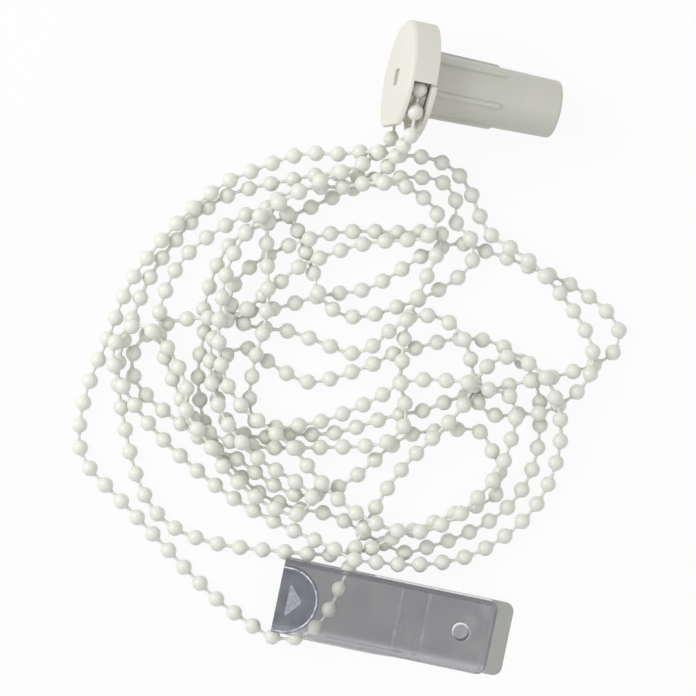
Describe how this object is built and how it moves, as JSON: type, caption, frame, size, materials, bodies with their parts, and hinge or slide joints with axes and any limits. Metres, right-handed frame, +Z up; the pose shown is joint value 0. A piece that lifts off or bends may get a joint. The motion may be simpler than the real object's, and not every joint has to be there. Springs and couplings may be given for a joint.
{
  "type": "roller blind chain",
  "caption": "Endless bead chain for a roller blind, lying in a loose heap, with its chain winder and tube plug and a clear wall-fixed chain tensioner.",
  "frame": {"origin": "on the table under the middle of the whole part's box", "axes": "+Z up off the table, +Y from the tensioner towards the winder, +X the way the tube plug and the tensioner's free end point"},
  "size_m": [0.1462, 0.1714, 0.0311],
  "materials": {
    "chain": "slightly glossy moulded acetal beads on a thin cord",
    "winder_plastic": "satin moulded nylon",
    "spring_steel": "drawn spring wire",
    "screw_steel": "zinc plated",
    "clear_plastic": "clear moulded polycarbonate with a grey tint"
  },
  "bodies": {
    "housing_and_chain": {"bead_chain": "chain", "winder_housing": "winder_plastic", "winder_back_plate": "winder_plastic", "retaining_screw": "screw_steel", "tensioner_base": "clear_plastic", "tensioner_front": "clear_plastic"},
    "drive": {"drive_wheel": "winder_plastic", "wrap_spring_1": "spring_steel", "wrap_spring_2": "spring_steel", "wrap_spring_3": "spring_steel", "tube_plug": "winder_plastic"}
  },
  "joints": [
    {"name": "drive_turn", "type": "hinge", "parent": "housing_and_chain", "child": "drive", "pos_m": [0.01608, 0.0702, 0.01559], "axis": [0.9611, -0.1764, -0.2127], "continuous": true}
  ]
}
